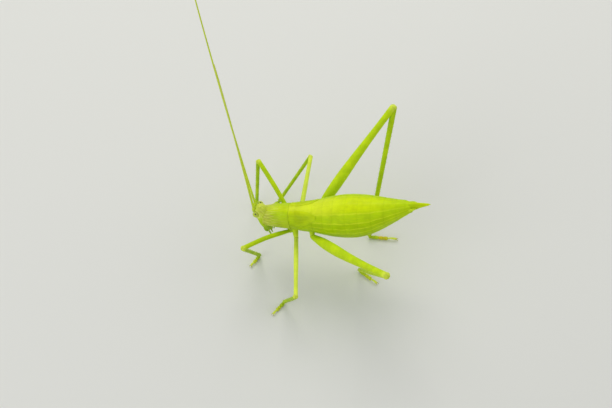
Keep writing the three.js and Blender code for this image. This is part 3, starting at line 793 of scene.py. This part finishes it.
def head():
    """Head capsule: crown, brow, face, cheeks, the sockets of eyes and feelers, and its creases."""
    share = np.concatenate([np.linspace(0, 0.1, 30, endpoint=False), np.linspace(0.1, 1.0, 150)])
    angles = np.linspace(0, 2 * np.pi, 160, endpoint=False)
    grid = section(
        on_head(share, 0 * share, 0 * share),
        HEAD_ACROSS,
        HEAD_FRONT,
        profile(HEAD, share) - INSET,
        profile(HEAD, share, 2) - INSET,
        profile(HEAD, share, 3) - INSET,
        angles,
        HEAD_POWER,
    )
    socket = np.zeros(grid.shape[:2])
    crease = np.zeros(grid.shape[:2])
    for side in SIDES.values():
        out = normals(grid)
        eye = on_head(EYE_PLACE[0], side * EYE_PLACE[1], EYE_PLACE[2])
        away = np.linalg.norm((grid - eye) / (1.05, 1.0, 1.0), axis=-1)
        ring = hump(0.56, 0.09, away)
        grid = grid + out * (0.07 * ring - 0.05 * hump(0, 0.4, away))[..., None]
        root = on_head(ANTENNA_PLACE[0], side * ANTENNA_PLACE[1], ANTENNA_PLACE[2])
        reach = np.linalg.norm(grid - root, axis=-1)
        grid = grid + out * (0.1 * hump(0.34, 0.1, reach))[..., None]
        socket = np.maximum(socket, np.maximum(ring, 0.5 * hump(0.36, 0.08, reach)))
        grid = swell(grid, out, on_head(0.62, side * 0.95, -0.15), 0.5, 0.1)
        for line in (
            [on_head(0.31, side * 0.9, 0.55), on_head(0.55, side * 0.86, 0.62), on_head(0.8, side * 0.72, 0.52)],
            [on_head(0.84, side * 0.95, -0.2), on_head(0.8, side * 0.8, 0.5), on_head(0.78, 0, 0.72)],
            [on_head(0.25, side * 1.0, -0.2), on_head(0.5, side * 1.1, -0.35), on_head(0.8, side * 0.95, -0.3)],
        ):
            grid = furrow(grid, out, line, 0.05, 0.045)
            crease = np.maximum(crease, hump(0, 0.06, near_line(grid, line)))
    out = normals(grid)
    grid = swell(grid, out, on_head(0.07, 0, 0.5), 0.2, 0.12)
    crown_line = [on_head(0.0, 0, 0.1), on_head(0.03, 0, -0.3), on_head(0.25, 0, -0.8)]
    grid = furrow(grid, out, crown_line, 0.04, 0.02)
    face = on_head(0.93, 0, 0.55)
    grid = swell(grid, out, face, 0.35, 0.05)
    behind = 1 - smooth(-0.2, 0.5, (grid - on_head(0, 0, 0)) @ HEAD_FRONT)
    crown = hump(0, 0.27, share)[:, None] * (0.35 + 0.65 * behind)
    lateral = (grid - HEAD_TOP) @ HEAD_ACROSS
    skin = Shell()
    skin.grid(grid, down=share[:, None], out=lateral, crown=crown, socket=socket, crease=crease)
    skin.build("head_skin", head_paint(), ["head"], "green_cuticle")


# Out, forward and down the face, of the dark spot that each eye turns to whoever looks at it.
PUPIL_AIM = {"left": (0.56, -0.35, -0.75), "right": (-0.15, -0.4, -0.9)}


def eye(name, side, material):
    """One compound eye with its dark spot."""
    rows = np.linspace(0.02, np.pi - 0.02, 60)
    turns = np.linspace(0, 2 * np.pi, 80, endpoint=False)
    ball = np.stack([np.sin(rows)[:, None] * np.cos(turns), np.sin(rows)[:, None] * np.sin(turns), np.cos(rows)[:, None] + 0 * turns], axis=-1)
    outward, forth, below = PUPIL_AIM[name]
    aim = unit((outward * side, forth, below))
    facing = ball @ aim
    forward = np.cross(HEAD_DOWN, HEAD_ACROSS) * -1
    scaled = ball * EYE_SIZE
    centre = on_head(EYE_PLACE[0], side * EYE_PLACE[1], EYE_PLACE[2])
    grid = centre + scaled[..., :1] * HEAD_ACROSS + scaled[..., 1:2] * forward + scaled[..., 2:] * HEAD_DOWN
    skin = Shell()
    skin.grid(grid, gaze=smooth(-0.2, 0.9, facing), pupil=smooth(0.925, 0.99, facing))
    skin.build(f"eye_ball_{name}", material, [f"eye_{name}"], "eye")


def mouthparts(material):
    """Labrum, the two jaws and the lip behind them."""
    skin = Shell()
    spread = np.linspace(-1, 1, 40)
    share = np.linspace(0, 1, 30)
    width = 0.5 * np.sqrt(np.clip(1 - (share * 0.92) ** 4, 0, 1))
    out = width[:, None] * spread
    front = 0.42 - 0.25 * spread**2 - 0.12 * share[:, None]
    labrum = on_head(0.96 + 0.2 * share[:, None] + 0 * spread, out, front)
    # The labrum, jaws and lip are darker green: painted shade under the head.
    skin.slab(labrum, 0.12, shade=0.7, pale=0.25 * smooth(0.5, 1.0, share)[:, None])
    for side in SIDES.values():
        path = [on_head(0.86, side * 0.72, 0.12), on_head(1.02, side * 0.6, 0.14), on_head(1.16, side * 0.22, 0.12)]
        skin.tube(curve_through(path, np.linspace(0, 1, 30)), (0.26, 0.3, 0.27, 0.12), HEAD_ACROSS, sides=24, shade=0.9, rust=lambda t: 0.6 * smooth(0.8, 1.0, t))
    lip = [on_head(0.95, 0, -0.28), on_head(1.08, 0, -0.24), on_head(1.19, 0, -0.12)]
    skin.tube(curve_through(lip, np.linspace(0, 1, 24)), (0.42, 0.4, 0.24), HEAD_ACROSS, sides=28, depth=0.55, shade=0.5, pale=0.3)
    skin.build("mouth_skin", material, ["mouthparts"], "leaf_green_cuticle")


# Joints of a long and a short palp: share down the head, out and to the front.
LONG_PALP = [(0.94, 0.66, -0.3), (1.0, 0.84, -0.34), (1.1, 0.86, -0.38), (1.18, 0.74, -0.3), (1.22, 0.58, -0.12)]
SHORT_PALP = [(1.0, 0.36, -0.42), (1.1, 0.42, -0.46), (1.18, 0.36, -0.4), (1.22, 0.28, -0.3)]


def palps(name, side, material):
    """A long jaw palp and a short lip palp, each of a few segments that widen to their ends."""
    skin = Shell()
    for joints, thick in ((LONG_PALP, 0.13), (SHORT_PALP, 0.1)):
        points = [on_head(share, side * out, front) for share, out, front in joints]
        for start, end in zip(points, points[1:]):
            path = start + (end - start) * np.linspace(-0.06, 1.04, 16)[:, None]
            skin.tube(path, (0.75 * thick, 0.85 * thick, thick), HEAD_ACROSS, sides=16, shade=0.75, pale=0.1)
    skin.build(f"palp_skin_{name}", material, [f"palp_{name}"], "pale_cuticle")


# ---------------------------------------------------------------- antennae


def antenna_points(name, side, lengths):
    """Points of one antenna at lengths from its root."""
    first, second = (np.array(heading) for heading in ANTENNA_HEADINGS[name])
    share = (np.asarray(lengths, float) / ANTENNA_LENGTH)[:, None]
    root = on_head(ANTENNA_PLACE[0], side * ANTENNA_PLACE[1], ANTENNA_PLACE[2])
    return root + ANTENNA_LENGTH * share * (first + (second - first) * share / 2)


def antenna(name, side, material):
    """Scape, pedicel and a lash of fine rings."""
    skin = Shell()
    skin.tube(antenna_points(name, side, np.linspace(-0.3, 0.75, 30)), (0.24, 0.27, 0.25, 0.18), ACROSS, sides=28, joint=0.0, along=0.0)
    skin.tube(antenna_points(name, side, np.linspace(0.68, 1.2, 24)), (0.14, 0.17, 0.155), ACROSS, sides=24, joint=0.0, along=0.5)
    edges, place = [], 1.12
    while place < ANTENNA_LENGTH - 0.35:
        edges.append(place)
        place += 0.24 + 0.34 * min(place / 20, 1.0)
    edges.append(ANTENNA_LENGTH - 0.05)
    lengths, radii, joint = [], [], []
    for start, end in zip(edges, edges[1:]):
        thick = 0.185 - 0.115 * min(start / ANTENNA_LENGTH, 1.0) ** 0.45
        for t, scale, mark in ((0.0, 0.93, 1.0), (0.12, 0.97, 0.4), (0.5, 1.0, 0.0), (0.88, 1.0, 0.0)):
            lengths.append(start + t * (end - start))
            radii.append(thick * scale)
            joint.append(mark)
    path = antenna_points(name, side, lengths)
    hint_side, up = sides_of(path, ACROSS)
    radii = np.array(radii)
    angles = np.linspace(0, 2 * np.pi, 10, endpoint=False)
    lash = section(path, hint_side, up, radii, radii, radii, angles)
    skin.grid(lash, joint=np.array(joint)[:, None], along=np.array(lengths)[:, None])
    nodes = [f"antenna_{name}_{piece}" for piece in ("base", "inner", "outer")]
    skin.build(f"antenna_lash_{name}", material, nodes, "antenna")


# ---------------------------------------------------------------- legs


class Leg:
    """The joints and directions of one leg."""

    def __init__(self, pair, name):
        self.pair, self.name, self.side = pair, name, SIDES[name]
        along, out, down = HIPS[pair]
        knee, ankle, toe = STANCE[f"{pair}_{name}"]
        self.root = on_body(along, self.side * out * 0.45, -down * 0.45)
        self.hip = on_body(along, self.side * out, -down)
        self.knee = np.array(knee)
        self.ankle = np.array((*ankle, ANKLE_RISE))
        self.heel = np.array((*ankle, SOLE_RISE))
        self.toe = np.array((*toe, SOLE_RISE))
        plane = unit(np.cross(self.knee - self.hip, self.ankle - self.knee))
        upward = np.cross(unit(self.knee - self.hip), plane)
        self.plane = plane if upward[2] > 0 else -plane

    def femur(self, places):
        outward, upward = FEMUR_BOW[self.pair]
        ahead = unit((self.knee - self.hip)[:2])
        bow = (self.hip + self.knee) / 2 + np.array((-abs(ahead[1]) * outward, self.side * ahead[0] * outward, upward))
        return curve_through([self.hip, bow, self.knee], places)

    def tibia(self, places):
        return self.knee + (self.ankle - self.knee) * np.asarray(places)[:, None]


def femur_pale(pair):
    """How pale a thigh is along its length: all of it on the middle legs, the knee on all, partly as painted highlight.
    """
    base, knee = {"front": (0.04, 0.7), "mid": (0.8, 0.95), "hind": (0.08, 0.75)}[pair]
    return lambda t: base + (knee - base) * smooth(0.93, 0.985, t)


def ridged(depth, lines):
    """Shapes a rod with shallow grooves at given angles, fading towards its ends."""

    def sculpt(grid, places, angles):
        fade = smooth(0.04, 0.2, places) * (1 - smooth(0.85, 0.96, places))
        grooves = sum(hump(0, 0.16, np.angle(np.exp(1j * (angles - line)))) for line in lines)
        return grid - normals(grid) * (depth * fade[:, None] * grooves)[..., None]

    return sculpt


def leg_skin(leg, material):
    """Coxa, trochanter, thigh, shin and foot of one leg as one skin."""
    pair, skin = leg.pair, Shell()
    coxa = curve_through([leg.root, (leg.root + leg.hip) / 2, leg.hip], np.linspace(0, 1, 30))
    skin.tube(coxa, (0.4, 0.42, 0.37, 0.31), leg.plane, sides=36, shade=0.3, pale=lambda t: 0.15 + 0.5 * smooth(0.55, 0.95, t))
    turn = leg.femur([0.0, 0.02, 0.04])
    ring = unit(turn[-1] - turn[0])
    trochanter = leg.hip + ring * np.linspace(-0.34, 0.36, 20)[:, None]
    skin.tube(trochanter, (0.26, 0.32, 0.31, 0.26), leg.plane, sides=28, shade=0.15, pale=0.4)
    radii = [radius - INSET for radius in FEMUR_RADII[pair]]
    sides = 48 if pair == "hind" else 32
    grooves = ridged(0.035 if pair == "hind" else 0.02, (math.pi / 2, math.pi, 3 * math.pi / 2))
    # Darker thighs, most on the front legs: painted shade.
    skin.tube(leg.femur(np.linspace(0, 1, 140)), radii, leg.plane, sides=sides, power=2.1, sculpt=grooves, shade={"front": 0.18, "mid": 0.1, "hind": 0.0}[pair], pale=femur_pale(pair), along=lambda t: 6 * t)
    run = unit(leg.tibia([0.0, 1.0])[1] - leg.knee)
    # Knee lobes as pale as the knee, which is partly painted highlight.
    for side in (-1, 1):
        knee = leg.knee + leg.plane * side * 0.13 + run * 0.12 + unit(leg.knee - leg.hip) * -0.1
        lobe = knee + unit(leg.knee - leg.hip) * np.linspace(-0.35, 0.28, 18)[:, None]
        size = radii[-1] * 0.8
        skin.tube(lobe, (0.6 * size, size, 0.95 * size, 0.6 * size), leg.plane, sides=20, depth=1.1, shade=0.0, pale=femur_pale(pair)(1.0))
    shin = [radius - INSET for radius in TIBIA_RADII[pair]]
    reach = 1.0 + 0.12 / float(np.linalg.norm(leg.ankle - leg.knee))
    square = ridged(0.03, (math.pi / 2, 3 * math.pi / 2, 0.0))
    pale = {"front": 0.05, "mid": 0.1, "hind": 0.05}[pair]
    # Darker shins, least on the hind legs: painted shade. The pale knee end of each shin is partly painted highlight.
    skin.tube(leg.tibia(np.linspace(0.0, reach, 140)), shin, leg.plane, sides=28, power=2.5, sculpt=square, shade={"front": 0.7, "mid": 0.75, "hind": 0.28}[pair], pale=lambda t: pale + 0.55 * (1 - smooth(0.0, 0.05, t)), along=lambda t: 8 * t)
    foot(leg, skin)
    nodes = [f"{pair}_{piece}_{leg.name}" for piece in ("coxa", "femur", "tibia", "tarsus")]
    skin.build(f"{pair}_leg_skin_{leg.name}", material, nodes, "green_cuticle")


# Foot joints: share of the way from heel to toe, height, thickness of the segment up to it.
FOOT = [(0.0, 0.27, 0.0), (0.33, 0.25, 0.25), (0.48, 0.24, 0.24), (0.63, 0.24, 0.25), (0.93, 0.26, 0.15)]


def foot(leg, skin):
    """Three padded segments flat on the floor and a slender last one that arches to the claws."""
    run = leg.toe - leg.heel
    flat = np.array((run[0], run[1], 0.0))
    side = unit(np.cross((0.0, 0.0, 1.0), flat))
    for index, ((start, low, _), (end, high, thick)) in enumerate(zip(FOOT, FOOT[1:])):
        t = np.linspace(0, 1, 26)
        height = low + (high - low) * t + (0.13 * np.sin(np.pi * t) if index == 3 else 0.0)
        path = leg.heel + (start - 0.02 + (end - start + 0.04) * t)[:, None] * flat
        path[:, 2] = np.maximum(height, thick + 0.005)
        radii = (0.8 * thick, 0.95 * thick, 1.05 * thick, 0.9 * thick) if index < 3 else (0.85 * thick, 0.8 * thick, thick, 1.1 * thick)
        rust = (0.15, 0.85, 0.75, 0.1)[index] * {"hind_right": 1.0, "hind_left": 0.3}.get(f"{leg.pair}_{leg.name}", 0.4)
        pale = (0.2, 0.3, 0.35, 0.7)[index]
        skin.tube(path, radii, side, sides=24, depth=0.85, shade=(0.8, 0.2, 0.2, 0.2)[index], rust=rust, pale=pale, pink=(lambda at: 0.4 * smooth(0.8, 1.0, at)) if index == 3 else 0.0)
        if index in (1, 2):
            for way in (-1, 1):
                pad = path[10:] + side * way * 0.11
                pad[:, 2] = 0.1
                skin.tube(pad, (0.06, 0.1, 0.1, 0.06), side, sides=14, depth=0.9, pale=0.75)


def spike(skin, root, aim, length, thick, **values):
    """One small cone, such as a spine or a hair."""
    path = root + unit(aim) * np.linspace(-0.1 * length, length, 5)[:, None]
    hint = unit(np.cross(aim, (0.31, 0.52, 0.79)))
    side, up = sides_of(path, hint)
    radius = thick * np.array((1.0, 0.85, 0.6, 0.32, 0.06))
    grid = section(path, side, up, radius, radius, radius, np.linspace(0, 2 * np.pi, 6, endpoint=False))
    skin.grid(grid, tip=np.linspace(0, 1, 5)[:, None], **values)


def surface_point(path, radii, hint, share, angle):
    """A point on a rod, with its outward direction and its heading."""
    places = np.linspace(0, 1, len(path))
    side, up = sides_of(path, hint)
    at = min(int(share * (len(path) - 1)), len(path) - 1)
    out = math.sin(angle) * side[at] + math.cos(angle) * up[at]
    ahead = unit(np.gradient(path, axis=0))[at]
    return path[at] + out * float(profile(evenly(radii), share)) * 0.96, out, ahead, places[at]


def armature(leg, horn, hair):
    """Spines, spurs and claws of one leg as one piece, and its fine hairs as another."""
    spines, hairs = Shell(), Shell()
    shin = [radius - INSET for radius in TIBIA_RADII[leg.pair]]
    thigh = [radius - INSET for radius in FEMUR_RADII[leg.pair]]
    tibia, femur = leg.tibia(np.linspace(0, 1, 120)), leg.femur(np.linspace(0, 1, 120))
    count = {"front": 7, "mid": 8, "hind": 22}[leg.pair]
    for line in (0.62, -0.62, math.pi - 0.6, math.pi + 0.6):
        for i in range(count):
            share = 0.12 + 0.84 * (i + 0.5 * (line > 1)) / count
            root, out, ahead, _ = surface_point(tibia, shin, leg.plane, min(share, 0.97), line)
            spike(spines, root, out + 0.75 * ahead, 0.17, 0.035)
    for line in (0.6, -0.6, math.pi - 0.7, math.pi + 0.7):
        root, out, ahead, _ = surface_point(tibia, shin, leg.plane, 0.975, line)
        spike(spines, root, 0.5 * out + ahead, 0.3, 0.045)
    for i in range({"front": 4, "mid": 4, "hind": 7}[leg.pair]):
        for line in (math.pi - 0.35, math.pi + 0.35):
            root, out, ahead, _ = surface_point(femur, thigh, leg.plane, 0.52 + 0.06 * i, line)
            spike(spines, root, out + 0.8 * ahead, 0.11, 0.03)
    run = unit(leg.toe - leg.heel)
    side = unit(np.cross((0, 0, 1.0), run))
    for way in (-1, 1):
        start = leg.heel + (leg.toe - leg.heel) * 0.93 + side * way * 0.05
        claw = np.array([start + (0, 0, 0.04), start + run * 0.13 + side * way * 0.07 + (0, 0, 0.05), start + run * 0.22 + side * way * 0.12 + (0, 0, -0.1), start + run * 0.2 + side * way * 0.13 + (0, 0, -0.19)])
        path = curve_through(claw, np.linspace(0, 1, 14))
        spines.tube(path, (0.055, 0.05, 0.035, 0.012), side, sides=10, tip=lambda t: t)
    spines.build(f"{leg.pair}_spines_{leg.name}", horn, [], "pale_cuticle")
    for path, radii, number in ((tibia, shin, 110), (femur, thigh, 90)):
        for _ in range(number):
            share, angle = RNG.uniform(0.04, 0.97), RNG.uniform(0, 2 * math.pi)
            root, out, ahead, _ = surface_point(path, radii, leg.plane, share, angle)
            spike(hairs, root, out + 0.9 * ahead + RNG.normal(0, 0.15, 3), RNG.uniform(0.09, 0.17), 0.009)
    piece = hairs.build(f"{leg.pair}_hairs_{leg.name}", hair, [], "pale_cuticle")
    patch_uv(piece)


def patch_uv(piece):
    """Gives each hair its own small patch, spread over the map in the order they grow."""
    mesh = piece.data
    layer = mesh.uv_layers.new(name="OFBake")
    each = 5 * 6 + 2
    across = math.ceil(math.sqrt(len(mesh.vertices) / each))
    patch = 0.003
    for loop in mesh.loops:
        number, corner = divmod(loop.vertex_index, each)
        u = (number % across + 0.5) / across + patch * ((corner % 6) / 6 - 0.5)
        v = (number // across + 0.5) / across + patch * ((corner // 6) / 6 - 0.5)
        layer.data[loop.index].uv = (u, v)


# ---------------------------------------------------------------- floor, light and camera

CAMERA_AZIMUTH = math.radians(8.0)
CAMERA_ELEVATION = math.radians(58.2)
LENS, SENSOR = 100.0, 36.0
TARGET = np.array((-0.086, 7.229, 0.0))  # the floor point in the middle of the picture
DISTANCE = 242.86


def emit(name, place, aim, size, power, colour):
    """A soft square lamp that looks at a point."""
    lamp = bpy.data.lights.new(name, "AREA")
    lamp.size = size * MM
    lamp.energy = power
    lamp.color = colour
    holder = bpy.data.objects.new(name, lamp)
    bpy.context.collection.objects.link(holder)
    start, end = Vector((np.array(place) + ORIGIN) * MM), Vector((np.array(aim) + ORIGIN) * MM)
    holder.location = start
    holder.rotation_euler = (end - start).to_track_quat("-Z", "Y").to_euler()


def stage():
    """A plain pale floor that fills the view, and soft lamps."""
    half = 1.5
    mesh = bpy.data.meshes.new("floor")
    mesh.from_pydata([(-half, -half, 0), (half, -half, 0), (half, half, 0), (-half, half, 0)], [], [(0, 1, 2, 3)])
    floor = bpy.data.objects.new("floor", mesh)
    bpy.context.collection.objects.link(floor)
    paint = bpy.data.materials.new("floor_paper")
    paint.use_nodes = True
    shader = paint.node_tree.nodes["Principled BSDF"]
    shader.inputs["Base Color"].default_value = linear(226, 226, 220)
    shader.inputs["Roughness"].default_value = 0.9
    shader.inputs["Specular IOR Level"].default_value = 0.1
    mesh.materials.append(paint)
    emit("key_lamp", (-50, 165, 195), (4, 0, 6), 170, 0.27, (1.0, 0.98, 0.94))
    emit("fill_lamp", (-150, -160, 120), (4, 0, 6), 200, 0.18, (0.98, 0.99, 1.0))
    emit("rim_lamp", (190, 60, 110), (4, 0, 6), 160, 0.07, (1.0, 1.0, 0.97))
    world = bpy.data.worlds.new("studio")
    world.use_nodes = True
    backdrop = world.node_tree.nodes["Background"]
    backdrop.inputs["Color"].default_value = (0.95, 0.97, 1.0, 1.0)
    backdrop.inputs["Strength"].default_value = 0.5
    scene = bpy.context.scene
    scene.world = world
    scene.view_settings.view_transform = "Standard"


def camera():
    """The camera at the photo's angle, with the animal framed as there."""
    level = math.cos(CAMERA_ELEVATION)
    back = np.array((math.sin(CAMERA_AZIMUTH) * level, -math.cos(CAMERA_AZIMUTH) * level, math.sin(CAMERA_ELEVATION)))
    data = bpy.data.cameras.new("camera")
    data.lens, data.sensor_width = LENS, SENSOR
    data.clip_start, data.clip_end = 0.01, 10.0
    eye_point = bpy.data.objects.new("camera", data)
    bpy.context.collection.objects.link(eye_point)
    eye_point.location = Vector((TARGET + ORIGIN + back * DISTANCE) * MM)
    eye_point.rotation_euler = Vector(-back).to_track_quat("-Z", "Y").to_euler()
    bpy.context.scene.camera = eye_point


# ---------------------------------------------------------------- the animal


def animal():
    limb_material = limb_paint()
    trunk()
    pronotum()
    head()
    mouthparts(limb_material)
    ovipositor()
    horn = tip_paint("horn", ROSE, BEIGE)
    hair = tip_paint("hair", CREAM, BONE)
    eye_material, antenna_material = eye_paint(), antenna_paint()
    for name, side in SIDES.items():
        wing_pad(name, side)
        cercus(name, side, limb_material)
        eye(name, side, eye_material)
        palps(name, side, limb_material)
        antenna(name, side, antenna_material)
        for pair in HIPS:
            leg = Leg(pair, name)
            leg_skin(leg, limb_material)
            armature(leg, horn, hair)


animal()
stage()
camera()
